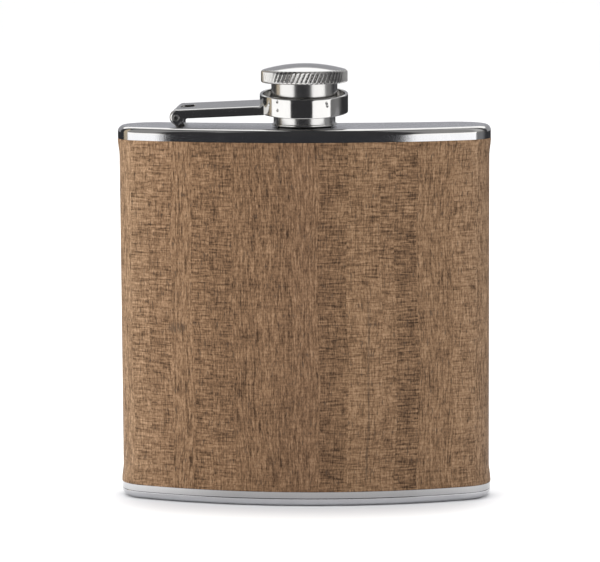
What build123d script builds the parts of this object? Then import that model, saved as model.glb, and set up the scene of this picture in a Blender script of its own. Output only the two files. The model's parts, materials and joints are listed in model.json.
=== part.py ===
"""Pocket hip flask: a kidney-section steel vessel wrapped in wood veneer, with a captive screw cap.

Frame: millimetres, +Z up, z = 0 on the surface it stands on, -Y towards the bulging front face,
+X towards the right-hand end. The origin is the middle of the flask's base.
"""
from build123d import *
import os
from math import asin, cos, degrees, pi, radians, sin, sqrt, tan

# ---- driving dimensions: vessel ----
WIDTH = 95.0
THICKNESS = 24.0            # front to back through the middle
SHELL_HEIGHT = 95.55        # base to top plate
FRONT_RADIUS = 105.0        # bulging front face
REAR_RADIUS = 185.0         # hollow rear face, which fits the hip
END_RADIUS = 9.0            # rounded left and right ends
STEEL = 0.6                 # sheet of the vessel
BASE_EDGE_RADIUS = 2.1
TOP_EDGE_RADIUS = 1.5
BASE_RECESS = 0.7           # how far the middle of the base is pressed up
BASE_RIM = 5.0              # width of the ring it stands on, outer edge radius included

# ---- wood wrap ----
WOOD_BOTTOM = 3.75
WOOD_TOP = 92.25
WOOD_FLARE = 4.3            # height over which the wrap swells out to the steel bands
WOOD_PROUD = 0.05           # at its edges, past the steel bands
WOOD_SUNK = 0.36            # along its middle, below the steel bands
VENEER = 0.5
ADHESIVE = 0.1
WRAP_GAP = 0.15             # butt joint of the wrap, at the middle of the back
SEAM = 0.12                 # height of the hairline at each polished seam
SEAM_DEPTH = 0.06

# ---- neck ----
NECK_TOP = 103.0
NECK_BORE = 5.6
NECK_ROOT = 6.35
NECK_CREST = 6.75
THREAD_PITCH = 1.4
THREAD_TURNS = 2.5
THREAD_BOTTOM = 98.4
NECK_FLANGE = 8.2           # flange under the top plate
NECK_WELD = 0.55

# ---- cap ----
CAP_X = 0.46                # its axis and the neck's, right of the flask's middle
SKIRT_BOTTOM = 95.85
SKIRT_RADIUS = 7.825
LIP_RADIUS = 8.25
LIP_HEIGHT = 0.5
BARREL_RADIUS = 8.35
BARREL_BOTTOM = 102.95
BARREL_ROUND = 0.35         # height of its rounded lower edge
SLEEVE_BORE = 7.4
SLEEVE_CREST = 7.1
HEAD_BOTTOM = 106.65
HEAD_RADIUS = 10.95
KNURL_TOP = 109.66
HEAD_CHAMFER = 0.35
DOME_RADIUS = 10.45
DOME_BOTTOM = 109.91
DOME_TOP = 111.4
KNURL_TEETH = 58
KNURL_DEPTH = 0.3
KNURL_LEAN = 25.0           # degrees from upright
PLUG_BOTTOM = 104.6
SEAL_RADIUS = 7.3
SEAL_BOTTOM = 103.05
SEAL_TOP = 104.55

# ---- hinge arm and collar; the arm sits a little askew, as a loose hinge lets it ----
PIVOT_X = -31.3
PIVOT_Z = 98.41
ARM_YAW = 5.64              # degrees, it runs from the middle of the plate's curve to the cap
ARM_PITCH = 2.8
ARM_TILT = 5.5              # front edge low
ARM_WIDTH = 11.8
ARM_TOP = 2.01              # above the pin's axis
ARM_BOTTOM = -0.25
ARM_SHEET = 0.4
NOSE_HALF_LENGTH = 1.8
NOSE_HALF_HEIGHT = 2.05
SLOT_START = 0.35
SLOT_END = 4.0
SLOT_WIDTH = 3.8
NOSE_BRIDGE_ANGLE = 112.0   # degrees round the pin where the middle of the nose stops
COLLAR_PITCH = -0.9         # the collar sits nearly level, not in line with the arm
COLLAR_SLACK = 0.12         # how far it hangs left of the cap's axis
COLLAR_HEIGHT = 101.75      # of the washer's middle, from which the next heights are measured
COLLAR_RADIUS = 11.15
COLLAR_WALL = 0.8
COLLAR_BOTTOM = -2.57
COLLAR_TOP = 2.28
COLLAR_EDGE = 0.25
BORE_LENGTH = 20.0          # of the cut that fits the arm to the collar
WASHER_HALF = 0.3
WASHER_HOLE = 8.1
STAKE_RADIUS = 0.35
STAKE_DEPTH = 0.2
STAKE_HEIGHT = -0.9
STAKES = 6

# ---- bracket and pin ----
PIN_RADIUS = 0.9
PIN_BORE = 0.48
PIN_PROUD = 0.12
BRACKET_WIDTH = 3.0         # along the pin
BRACKET_HOLE = 1.08         # loose on the pin
BRACKET_EYE = 1.36
BRACKET_LEFT = -0.6
BRACKET_RIGHT = 1.1
BRACKET_SHOULDER = -0.3
BRACKET_WELD = 0.5

HALF = WIDTH / 2
TOP_SEAM = SHELL_HEIGHT - TOP_EDGE_RADIUS
END_X = HALF - END_RADIUS

os.makedirs("parts", exist_ok=True)


def ends():
    """Heights along Y of the end rounds' centres, front and rear, with y = 0 at mid-thickness."""
    front = -THICKNESS / 2 + FRONT_RADIUS - sqrt((FRONT_RADIUS - END_RADIUS) ** 2 - END_X**2)
    rear = THICKNESS / 2 + REAR_RADIUS - sqrt((REAR_RADIUS + END_RADIUS) ** 2 - END_X**2)
    return front, rear


FRONT_END_Y, REAR_END_Y = ends()
# Mid-thickness of the middle of the flask, set so that the whole flask is centred on y = 0.
MID_Y = (THICKNESS / 2 - REAR_END_Y - END_RADIUS) / 2


def outline(inset):
    """The kidney-shaped section, moved in from the steel bands' surface by inset."""
    front_centre = -THICKNESS / 2 + FRONT_RADIUS
    rear_centre = THICKNESS / 2 + REAR_RADIUS
    front = FRONT_RADIUS - inset
    rear = REAR_RADIUS + inset
    end = END_RADIUS - inset
    front_angle = asin(END_X / (FRONT_RADIUS - END_RADIUS))
    rear_angle = asin(END_X / (REAR_RADIUS + END_RADIUS))

    def on_front(turn):
        return (front * sin(turn), front_centre - front * cos(turn))

    def on_rear(turn):
        return (rear * sin(turn), rear_centre - rear * cos(turn))

    def on_end(side, centre_y, turn):
        return (side * (END_X + end * cos(turn)), centre_y + end * sin(turn))

    front_corner = (front_angle - pi / 2) / 2
    rear_corner = (pi / 2 + rear_angle) / 2
    arcs = [
        ThreePointArc(on_front(-front_angle), on_front(0), on_front(front_angle)),
        ThreePointArc(on_front(front_angle), on_end(1, FRONT_END_Y, front_corner), on_end(1, FRONT_END_Y, 0)),
        Line(on_end(1, FRONT_END_Y, 0), on_end(1, REAR_END_Y, 0)),
        ThreePointArc(on_end(1, REAR_END_Y, 0), on_end(1, REAR_END_Y, rear_corner), on_rear(rear_angle)),
        ThreePointArc(on_rear(rear_angle), on_rear(0), on_rear(-rear_angle)),
        ThreePointArc(on_rear(-rear_angle), on_end(-1, REAR_END_Y, rear_corner), on_end(-1, REAR_END_Y, 0)),
        Line(on_end(-1, REAR_END_Y, 0), on_end(-1, FRONT_END_Y, 0)),
        ThreePointArc(on_end(-1, FRONT_END_Y, 0), on_end(-1, FRONT_END_Y, front_corner), on_front(-front_angle)),
    ]
    return Face(Wire(arcs))


def stack(levels):
    """A solid whose section is outline(inset) at each (height, inset) level."""
    solid = None
    for (low, low_inset), (high, high_inset) in zip(levels, levels[1:]):
        place = Location((0, MID_Y, low))
        if abs(low_inset - high_inset) < 1e-9:
            piece = extrude(place * outline(low_inset), amount=high - low, dir=(0, 0, 1))
        else:
            sections = [place * outline(low_inset), Location((0, MID_Y, high)) * outline(high_inset)]
            piece = loft(sections, ruled=True)
        solid = piece if solid is None else solid + piece
    return solid


def rounded_edge(radius, steps=6):
    """(rise, inset) pairs down a quarter-round edge, from the flat face to the upright wall."""
    turns = [pi / 2 * step / steps for step in range(steps + 1)]
    return [(radius * (1 - cos(turn)), radius * (1 - sin(turn))) for turn in turns]


def wrap_levels(depth):
    """The wood wrap's surface, or a surface depth below it."""
    return [
        (WOOD_BOTTOM, depth - WOOD_PROUD),
        (WOOD_BOTTOM + WOOD_FLARE, depth + WOOD_SUNK),
        (WOOD_TOP - WOOD_FLARE, depth + WOOD_SUNK),
        (WOOD_TOP, depth - WOOD_PROUD),
    ]


def revolved(points):
    """A ring or disc turned about the cap's axis from a closed outline of (radius, height)."""
    face = Plane.XZ * make_face(Polyline(*points, close=True))
    return Location((CAP_X, MID_Y, 0)) * revolve(face, axis=Axis.Z)


def cylinder(radius, low, high):
    """A disc on the cap's axis."""
    base = Location((CAP_X, MID_Y, low)) * Circle(radius)
    return extrude(base, amount=high - low)


def leaning_plane(origin, rise):
    """A frame with x from the pin to the cap, rising by rise degrees, and y along the pin, its front end low."""
    yaw, pitch, tilt = radians(ARM_YAW), radians(rise), radians(ARM_TILT)
    along = Vector(cos(yaw) * cos(pitch), -sin(yaw) * cos(pitch), sin(pitch))
    level = Vector(sin(yaw), cos(yaw), 0)
    pin = level * cos(tilt) + along.cross(level) * sin(tilt)
    return Plane(origin=origin, x_dir=along, z_dir=along.cross(pin))


def bracket_plane():
    """The bracket's frame: upright, with y along its hole."""
    yaw = radians(ARM_YAW)
    return Plane(origin=PIVOT, x_dir=(cos(yaw), -sin(yaw), 0), z_dir=(0, 0, 1))


PIVOT = (PIVOT_X, MID_Y - PIVOT_X * tan(radians(ARM_YAW)), PIVOT_Z)
ARM = leaning_plane(PIVOT, ARM_PITCH)
BRACKET = bracket_plane()
COLLAR = leaning_plane((CAP_X - COLLAR_SLACK, MID_Y, COLLAR_HEIGHT), COLLAR_PITCH)
ARM_REACH = (CAP_X - PIVOT_X) / cos(radians(ARM_YAW))


# ---- vessel ----
def shell_outside():
    """The drawn tube's outside: full size at the bands, stepped in where the wrap lies."""
    seat = wrap_levels(VENEER + ADHESIVE)
    low = [(BASE_EDGE_RADIUS, SEAM_DEPTH), (BASE_EDGE_RADIUS + SEAM, 0), (WOOD_BOTTOM, 0)]
    high = [(WOOD_TOP, 0), (TOP_SEAM - SEAM, 0), (TOP_SEAM, SEAM_DEPTH)]
    return stack(low) + stack(seat) + stack(high)


def shell_inside():
    """The drawn tube's inside, one sheet in from its outside."""
    deep = VENEER + ADHESIVE + WOOD_SUNK + STEEL
    return stack([
        (BASE_EDGE_RADIUS, STEEL + SEAM_DEPTH),
        (WOOD_BOTTOM, STEEL + VENEER),
        (WOOD_BOTTOM + WOOD_FLARE, deep),
        (WOOD_TOP - WOOD_FLARE, deep),
        (WOOD_TOP, STEEL + VENEER),
        (TOP_SEAM, STEEL + SEAM_DEPTH),
    ])


def make_body_shell():
    return shell_outside() - shell_inside()


def make_top_plate():
    """Pressed end with a rounded edge, brushed on top, with the neck's hole."""
    edge = rounded_edge(TOP_EDGE_RADIUS)
    outside = [(TOP_SEAM, SEAM_DEPTH), (TOP_SEAM + SEAM, 0)]
    outside += [(SHELL_HEIGHT - drop, inset) for drop, inset in reversed(edge) if drop < TOP_EDGE_RADIUS - SEAM]
    inner = rounded_edge(TOP_EDGE_RADIUS - STEEL)
    inside = [(SHELL_HEIGHT - STEEL - drop, STEEL + inset) for drop, inset in reversed(inner)]
    inside[0] = (TOP_SEAM, STEEL + SEAM_DEPTH)
    hole = cylinder(NECK_ROOT, SHELL_HEIGHT - 2, SHELL_HEIGHT + 1)
    return stack(outside) - stack(inside) - hole


def make_bottom_plate():
    """Pressed base: rounded edge, standing ring, middle pressed up clear of the table."""
    edge = rounded_edge(BASE_EDGE_RADIUS)
    outside = [(rise, inset) for rise, inset in edge if rise < BASE_EDGE_RADIUS - SEAM]
    outside += [(BASE_EDGE_RADIUS - SEAM, 0), (BASE_EDGE_RADIUS, SEAM_DEPTH)]
    inner = rounded_edge(BASE_EDGE_RADIUS - STEEL)
    inside = [(STEEL + rise, STEEL + inset) for rise, inset in inner]
    inside[-1] = (BASE_EDGE_RADIUS, STEEL + SEAM_DEPTH)
    recess = stack([(0, BASE_RIM), (BASE_RECESS, BASE_RIM + BASE_RECESS)])
    raised = stack([(STEEL, BASE_RIM - STEEL), (STEEL + BASE_RECESS, BASE_RIM + BASE_RECESS - STEEL)])
    return stack(outside) - stack(inside) + raised - recess


def make_neck():
    """Threaded spout, flanged under the top plate."""
    under = SHELL_HEIGHT - STEEL
    tube = revolved([
        (NECK_BORE, under - STEEL),
        (NECK_FLANGE, under - STEEL),
        (NECK_FLANGE, under),
        (NECK_ROOT, under),
        (NECK_ROOT, NECK_TOP - 0.3),
        (NECK_ROOT - 0.25, NECK_TOP),
        (NECK_BORE + 0.2, NECK_TOP),
        (NECK_BORE, NECK_TOP - 0.3),
    ])
    return tube + thread(NECK_ROOT, NECK_CREST)


def thread(root, crest):
    """A helical ridge on a wall at radius root that rises to radius crest."""
    path = Helix(THREAD_PITCH, THREAD_PITCH * THREAD_TURNS, root, center=(CAP_X, MID_Y, THREAD_BOTTOM))
    sink = 0.1 if crest > root else -0.1
    base, tip = THREAD_PITCH * 0.36, THREAD_PITCH * 0.1
    outline_points = [(-sink, -base), (crest - root, -tip), (crest - root, tip), (-sink, base)]
    start = Plane(origin=path @ 0, x_dir=(1, 0, 0), z_dir=(0, 1, 0))
    section = start * make_face(Polyline(*[(x, -y) for x, y in outline_points], close=True))
    return sweep(section, path=path, is_frenet=True)


def make_neck_weld():
    """Fillet of weld round the foot of the neck."""
    return revolved([
        (NECK_ROOT, SHELL_HEIGHT),
        (NECK_ROOT + NECK_WELD, SHELL_HEIGHT),
        (NECK_ROOT + NECK_WELD * 0.35, SHELL_HEIGHT + NECK_WELD * 0.35),
        (NECK_ROOT, SHELL_HEIGHT + NECK_WELD),
    ])


# ---- wood wrap ----
def wrap_joint(depth):
    """The narrow gap where the wrap's two ends meet, at the middle of the back."""
    return Pos(0, MID_Y + THICKNESS / 2 - depth, SHELL_HEIGHT / 2) * Box(WRAP_GAP, 3, SHELL_HEIGHT)


def make_wood_veneer():
    return stack(wrap_levels(0)) - stack(wrap_levels(VENEER)) - wrap_joint(0)


def make_veneer_adhesive():
    return stack(wrap_levels(VENEER)) - stack(wrap_levels(VENEER + ADHESIVE))


# ---- cap ----
def make_cap_sleeve():
    """Turned sleeve: barrel above, plain skirt below, retaining lip at the foot, thread inside."""
    round_width = BARREL_RADIUS - SKIRT_RADIUS
    shoulder = []
    for step in range(5):
        turn = pi / 2 * step / 4
        shoulder.append((SKIRT_RADIUS + round_width * sin(turn), BARREL_BOTTOM + BARREL_ROUND * (1 - cos(turn))))
    sleeve = revolved([
        (SLEEVE_BORE, SKIRT_BOTTOM),
        (LIP_RADIUS - 0.1, SKIRT_BOTTOM),
        (LIP_RADIUS, SKIRT_BOTTOM + 0.1),
        (LIP_RADIUS, SKIRT_BOTTOM + LIP_HEIGHT - 0.1),
        (SKIRT_RADIUS, SKIRT_BOTTOM + LIP_HEIGHT),
        *shoulder,
        (BARREL_RADIUS, HEAD_BOTTOM),
        (SLEEVE_BORE, HEAD_BOTTOM),
    ])
    return sleeve + thread(SLEEVE_BORE, SLEEVE_CREST)


def knurl_section(height, turned):
    """The grip's toothed section at a height, turned by an angle in radians."""
    points = []
    for tooth in range(KNURL_TEETH):
        for share, radius in ((0, HEAD_RADIUS - KNURL_DEPTH), (0.35, HEAD_RADIUS), (0.65, HEAD_RADIUS)):
            turn = 2 * pi * (tooth + share) / KNURL_TEETH + turned
            points.append((radius * cos(turn), radius * sin(turn)))
    return Location((CAP_X, MID_Y, height)) * make_face(Polyline(*points, close=True))


def knurled_ring(low, high):
    """The head's grip: slanting teeth round its edge."""
    lean = (high - low) * tan(radians(KNURL_LEAN)) / HEAD_RADIUS
    return loft([knurl_section(low, 0), knurl_section(high, lean)], ruled=True)


def make_cap_head():
    """Knurled head with a shallow dome and a plug pressed into the sleeve."""
    rise = DOME_TOP - DOME_BOTTOM
    root = HEAD_RADIUS - KNURL_DEPTH
    grip_low, grip_high = HEAD_BOTTOM + HEAD_CHAMFER, KNURL_TOP - HEAD_CHAMFER
    sphere_radius = (DOME_RADIUS**2 + rise**2) / (2 * rise)
    spread = degrees(asin(DOME_RADIUS / sphere_radius))
    dome_arc = CenterArc((0, DOME_TOP - sphere_radius), sphere_radius, 90 - spread, spread)
    crown = Polyline((0, DOME_TOP), (0, grip_high), (root, grip_high), (DOME_RADIUS, DOME_BOTTOM))
    crown_face = Plane.XZ * make_face([dome_arc.edge(), *crown.edges()])
    crown_solid = Location((CAP_X, MID_Y, 0)) * revolve(crown_face, axis=Axis.Z)
    foot = revolved([
        (0, PLUG_BOTTOM),
        (SLEEVE_BORE, PLUG_BOTTOM),
        (SLEEVE_BORE, HEAD_BOTTOM),
        (root - HEAD_CHAMFER, HEAD_BOTTOM),
        (root, grip_low),
        (0, grip_low),
    ])
    return foot + knurled_ring(grip_low, grip_high) + crown_solid


def make_cap_seal():
    return cylinder(SEAL_RADIUS, SEAL_BOTTOM, SEAL_TOP)


# ---- hinge ----
def arm_profile(inset):
    """Side view of the arm, in its XZ plane: oval nose round the pin, bar towards the collar."""
    nose = Ellipse(NOSE_HALF_LENGTH - inset, NOSE_HALF_HEIGHT - inset)
    top = ARM_TOP - inset
    bar = Pos(ARM_REACH / 2, (top + ARM_BOTTOM) / 2) * Rectangle(ARM_REACH, top - ARM_BOTTOM)
    return nose + bar


def across(profile, low, high):
    """Extrudes an XZ profile along the arm's y from low to high."""
    return extrude(Plane.XZ.offset(-high) * profile, amount=high - low)


def make_hinge_arm():
    """Pressed channel: web above, a flange down each side, its nose wrapped round the pin."""
    half = ARM_WIDTH / 2
    outside = across(arm_profile(0), -half, half)
    inside = across(arm_profile(ARM_SHEET), -half + ARM_SHEET, half - ARM_SHEET)
    below = Pos(ARM_REACH / 2 + 1, 0, ARM_BOTTOM - 1) * Box(ARM_REACH, ARM_WIDTH - 2 * ARM_SHEET, 4)
    arm = outside - inside - below
    slot = Pos((SLOT_START + SLOT_END) / 2, 0, ARM_TOP) * Box(SLOT_END - SLOT_START, SLOT_WIDTH, 3)
    arm -= slot
    arm -= across(nose_opening(), -SLOT_WIDTH / 2, SLOT_WIDTH / 2)
    arm -= across(Circle(PIN_RADIUS), -half, half)
    return ARM.location * arm - COLLAR.location * Cylinder(COLLAR_RADIUS, BORE_LENGTH)


def nose_opening():
    """The sector of the nose that is cut away between the flanges, so that the bracket fits in."""
    reach = 4.0
    turn = radians(NOSE_BRIDGE_ANGLE)
    return make_face(Polyline(
        (0, 0), (reach * cos(turn), reach * sin(turn)), (-reach, 0), (-reach, -reach), (reach, -reach), (reach, 0),
        close=True,
    ))


def make_cap_collar():
    """Loose ring round the cap, staked through to its washer."""
    inner = COLLAR_RADIUS - COLLAR_WALL
    ring = Plane.XZ * make_face(Polyline(
        (inner, COLLAR_BOTTOM),
        (COLLAR_RADIUS - COLLAR_EDGE, COLLAR_BOTTOM),
        (COLLAR_RADIUS, COLLAR_BOTTOM + COLLAR_EDGE),
        (COLLAR_RADIUS, COLLAR_TOP - COLLAR_EDGE),
        (COLLAR_RADIUS - COLLAR_EDGE, COLLAR_TOP),
        (inner, COLLAR_TOP),
        close=True,
    ))
    collar = revolve(ring, axis=Axis.Z)
    for stake in range(STAKES):
        turn = 360 * (stake + 0.5) / STAKES
        dent = Rot(0, 0, turn) * Pos(COLLAR_RADIUS, 0, STAKE_HEIGHT) * Rot(0, 90, 0)
        collar -= dent * Cylinder(STAKE_RADIUS, 2 * STAKE_DEPTH)
    return COLLAR.location * collar


def make_collar_washer():
    """Washer pressed into the collar, which rides between the cap's barrel and its lip."""
    ring = Circle(COLLAR_RADIUS - COLLAR_WALL) - Circle(WASHER_HOLE)
    washer = extrude(Pos(0, 0, -WASHER_HALF) * ring, amount=2 * WASHER_HALF)
    return COLLAR.location * washer


def make_hinge_pin():
    """Tubular rivet through the arm's two flanges."""
    reach = ARM_WIDTH / 2 + PIN_PROUD
    pin = across(Circle(PIN_RADIUS) - Circle(PIN_BORE), -reach, reach)
    return ARM.location * pin


def make_hinge_bracket():
    """Eye on a short post, welded to the top plate."""
    foot = SHELL_HEIGHT - PIVOT_Z
    eye = Circle(BRACKET_EYE)
    post_points = [
        (BRACKET_LEFT, foot),
        (BRACKET_RIGHT, foot),
        (BRACKET_RIGHT, BRACKET_SHOULDER),
        (BRACKET_EYE * 0.85, BRACKET_EYE * 0.45),
        (BRACKET_LEFT, 0),
    ]
    post = make_face(Polyline(*post_points, close=True))
    profile = eye + post - Circle(BRACKET_HOLE)
    return BRACKET.location * across(profile, -BRACKET_WIDTH / 2, BRACKET_WIDTH / 2)


def make_bracket_weld():
    """Fillet of weld round the bracket's foot."""
    foot = SHELL_HEIGHT - PIVOT_Z
    middle = (BRACKET_LEFT + BRACKET_RIGHT) / 2
    length, width = BRACKET_RIGHT - BRACKET_LEFT, BRACKET_WIDTH
    low = Pos(middle, 0, foot) * Rectangle(length + 2 * BRACKET_WELD, width + 2 * BRACKET_WELD)
    high = Pos(middle, 0, foot + BRACKET_WELD) * Rectangle(length + 0.1, width + 0.1)
    bead = loft([low.face(), high.face()], ruled=True)
    core = Pos(middle, 0, foot) * Box(length, width, 4 * BRACKET_WELD)
    return BRACKET.location * (bead - core)


PARTS = {
    "body_shell": make_body_shell,
    "top_plate": make_top_plate,
    "bottom_plate": make_bottom_plate,
    "neck": make_neck,
    "neck_weld": make_neck_weld,
    "wood_veneer": make_wood_veneer,
    "veneer_adhesive": make_veneer_adhesive,
    "hinge_bracket": make_hinge_bracket,
    "bracket_weld": make_bracket_weld,
    "hinge_pin": make_hinge_pin,
    "hinge_arm": make_hinge_arm,
    "cap_collar": make_cap_collar,
    "collar_washer": make_collar_washer,
    "cap_head": make_cap_head,
    "cap_sleeve": make_cap_sleeve,
    "cap_seal": make_cap_seal,
}

for name, make in PARTS.items():
    export_step(make(), f"parts/{name}.step")
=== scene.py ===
"""Looks of a pocket hip flask: a steel vessel wrapped in wood veneer, with a captive screw cap.

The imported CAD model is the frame. Each visible piece is built here in millimetres, from the frame's own
boxes and joints, and scaled to metres when it becomes an object.
"""
import json
from math import asin, atan2, cos, degrees, hypot, pi, radians, sin, sqrt, tan

import bmesh
import bpy
from mathutils import Matrix, Vector, noise


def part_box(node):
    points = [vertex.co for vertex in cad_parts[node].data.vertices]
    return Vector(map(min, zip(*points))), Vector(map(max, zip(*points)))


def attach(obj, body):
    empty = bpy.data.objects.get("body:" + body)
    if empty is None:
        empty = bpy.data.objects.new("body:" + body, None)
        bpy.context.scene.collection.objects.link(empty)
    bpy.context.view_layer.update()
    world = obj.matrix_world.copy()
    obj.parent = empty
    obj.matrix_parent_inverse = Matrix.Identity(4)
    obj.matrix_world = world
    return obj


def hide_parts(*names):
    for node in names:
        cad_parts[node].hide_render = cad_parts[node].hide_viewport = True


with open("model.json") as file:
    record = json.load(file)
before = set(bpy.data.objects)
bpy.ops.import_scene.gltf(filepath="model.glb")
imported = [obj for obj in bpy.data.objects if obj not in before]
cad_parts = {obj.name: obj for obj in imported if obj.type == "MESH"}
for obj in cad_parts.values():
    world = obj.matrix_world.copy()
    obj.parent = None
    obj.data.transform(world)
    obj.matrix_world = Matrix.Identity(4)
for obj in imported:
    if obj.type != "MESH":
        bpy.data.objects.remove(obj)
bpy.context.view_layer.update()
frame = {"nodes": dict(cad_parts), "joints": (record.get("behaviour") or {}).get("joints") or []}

MM = 0.001


def box_mm(node):
    """Lowest and highest corner of a CAD node, in millimetres."""
    low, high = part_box(node)
    return low / MM, high / MM


# ---- sizes taken from the frame, in millimetres ----
TOP_LOW, TOP_HIGH = box_mm("top_plate")
BASE_HIGH = box_mm("bottom_plate")[1]
WOOD_LOW, WOOD_HIGH = box_mm("wood_veneer")
HEAD_LOW, HEAD_HIGH = box_mm("cap_head")
SLEEVE_LOW, SLEEVE_HIGH = box_mm("cap_sleeve")
BRACKET_FOOT = box_mm("hinge_bracket")[0].z
PLATE_Z = TOP_HIGH.z
CAP_X = (HEAD_LOW.x + HEAD_HIGH.x) / 2          # the cap's axis, at mid-thickness
MID_Y = (HEAD_LOW.y + HEAD_HIGH.y) / 2
HEAD_RADIUS = HEAD_HIGH.x - CAP_X
BARREL_RADIUS = SLEEVE_HIGH.x - CAP_X

# ---- sizes that the frame's boxes don't give, as in the CAD design ----
HALF_WIDTH = TOP_HIGH.x
THICKNESS = 24.0
FRONT_RADIUS = 105.0
REAR_RADIUS = 185.0
END_RADIUS = 9.0
TOP_EDGE_RADIUS = PLATE_Z - TOP_LOW.z
BASE_EDGE_RADIUS = BASE_HIGH.z
STEEL = 0.6
SEAM = 0.12
SEAM_DEPTH = 0.06
SEAM_LAP = 0.14             # polished over the upper seam's hairline
SEAM_PROUD = 0.004
BASE_RIM = 5.0
BASE_RECESS = 0.7
VENEER = 0.5
WOOD_FLARE = 4.6
WOOD_PROUD = 0.05
WOOD_SUNK = 0.36
WOOD_EDGE = 0.12
WRAP_GAP = 0.15             # between the wrap's two ends
GRAIN_UNIT = 100.0          # millimetres of wood to one unit of its grain map

NECK_ROOT = 6.35
SKIRT_RADIUS = 7.825
BARREL_BOTTOM = 102.95
BARREL_ROUND = 0.35
LIP_HEIGHT = 0.5
SLEEVE_BORE = 7.4
THREAD_PITCH = 1.4
THREAD_DEPTH = 0.3
THREAD_BOTTOM = 98.4
THREAD_TURNS = 2.5
HEAD_BOTTOM = 106.65
KNURL_TOP = 109.66
KNURL_TEETH = 58
KNURL_DEPTH = 0.42
KNURL_LEAN = 25.0           # degrees from upright
KNURL_RISE = 0.26           # share of a tooth's pitch on its steep side
KNURL_LAND = 0.12           # worn off its crest
DOME_RADIUS = 10.45
DOME_BOTTOM = 109.91

ARM_PITCH = 2.8
ARM_TILT = 5.5
ARM_WIDTH = 11.8
ARM_TOP = 2.01
ARM_BOTTOM = -0.25
ARM_SHEET = 0.4
ARM_BEND = 0.75
NOSE_HALF_LENGTH = 1.8
NOSE_HALF_HEIGHT = 2.05
NOSE_BRIDGE_ANGLE = 112.0
SLOT_START = 0.35
SLOT_END = 4.0
SLOT_WIDTH = 3.8
SLOT_CORNER = 1.2
KICK_START = 21.4           # where the web's corners start to rise to the collar
KICK_RISE = 1.2
COLLAR_PITCH = -0.9
COLLAR_SLACK = 0.12
COLLAR_HEIGHT = 101.75      # of the washer's middle, from which the collar's two heights are measured
COLLAR_RADIUS = 11.15
COLLAR_WALL = 0.8
COLLAR_BOTTOM = -2.57
COLLAR_TOP = 2.28
STAKE_DEPTH = 0.26
STAKE_RADIUS = 0.38
# Punch marks on the collar: (degrees round it, height, strength).
STAKES = [
    (-132.5, 0.3, 0.8),
    (-118.2, 1.45, 1.0),
    (-117.8, -0.7, 1.0),
    (-50.6, 1.15, 1.1),
    (-49.6, 0.45, 1.0),
    (55.0, 0.9, 1.0),
    (125.0, -0.4, 1.0),
]
PIN_RADIUS = 0.9
PIN_BORE = 0.48
PIN_PROUD = 0.12
BRACKET_WIDTH = 3.0
BRACKET_HOLE = 1.08
BRACKET_EYE = 1.36
BRACKET_LEFT = -0.6
BRACKET_RIGHT = 1.1
BRACKET_SHOULDER = -0.3

# ---- fineness of the round parts, in steps once round ----
SMALL_ROUND = 64
PIN_ROUND = 72
LATHE_ROUND = 192
STEPS_PER_TOOTH = 10
COLLAR_ROUND = 600
CUTTER_ROUND = 288
FLOOR_ROUND = 96

HINGE = next(joint for joint in frame["joints"] if joint["name"] == "arm_hinge")
PIVOT = Vector(HINGE["pos_m"]) / MM
ARM_YAW = degrees(atan2(-HINGE["axis"][0], -HINGE["axis"][1]))


# ---- the moving parts' own frames ----
def leaning_matrix(origin, rise):
    """x from the pin to the cap, rising by rise degrees, y along the pin with its front end low."""
    yaw, pitch, tilt = radians(ARM_YAW), radians(rise), radians(ARM_TILT)
    along = Vector((cos(yaw) * cos(pitch), -sin(yaw) * cos(pitch), sin(pitch)))
    level = Vector((sin(yaw), cos(yaw), 0))
    pin = level * cos(tilt) + along.cross(level) * sin(tilt)
    axes = Matrix((along, pin, along.cross(pin))).transposed().to_4x4()
    return Matrix.Translation(origin) @ axes


ARM = leaning_matrix(PIVOT, ARM_PITCH)
ARM_REACH = (CAP_X - PIVOT.x) / cos(radians(ARM_YAW))
COLLAR = leaning_matrix((CAP_X - COLLAR_SLACK, MID_Y, COLLAR_HEIGHT), COLLAR_PITCH)
BRACKET = Matrix.Translation(PIVOT) @ Matrix.Rotation(radians(-ARM_YAW), 4, "Z")


# ---- outlines ----
def blend_step(share):
    """0 to 1 with level ends."""
    share = min(max(share, 0.0), 1.0)
    return share * share * (3 - 2 * share)


def round_corners(corners, steps=5):
    """A closed outline of (x, y, radius) corners as points, each corner an arc of its own radius."""
    points = []
    count = len(corners)
    for index, (x, y, radius) in enumerate(corners):
        corner = Vector((x, y))
        before = Vector(corners[index - 1][:2]) - corner
        after = Vector(corners[(index + 1) % count][:2]) - corner
        if radius <= 0:
            points.append((x, y))
            continue
        half = before.angle(after) / 2
        setback = min(radius / tan(half), before.length * 0.49, after.length * 0.49)
        start = corner + before.normalized() * setback
        end = corner + after.normalized() * setback
        for step in range(steps + 1):
            share = step / steps
            near = start.lerp(corner, share)
            far = corner.lerp(end, share)
            points.append(tuple(near.lerp(far, share)))
    return points


def full_circle(count):
    """The angles of count even steps once round."""
    return [2 * pi * i / count for i in range(count)]


def circle(radius, count):
    """A circle's points."""
    return [(radius * cos(turn), radius * sin(turn)) for turn in full_circle(count)]


def even_steps(start, stop, count):
    """Numbers from start to stop in count even steps."""
    return [start + (stop - start) * i / count for i in range(count + 1)]


def subdivided(points, longest):
    """The closed outline with its long runs cut into shorter ones."""
    out = []
    for index, (x, y) in enumerate(points):
        next_x, next_y = points[(index + 1) % len(points)]
        pieces = max(1, round(hypot(next_x - x, next_y - y) / longest))
        out += [(x + (next_x - x) * i / pieces, y + (next_y - y) * i / pieces) for i in range(pieces)]
    return out


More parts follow.
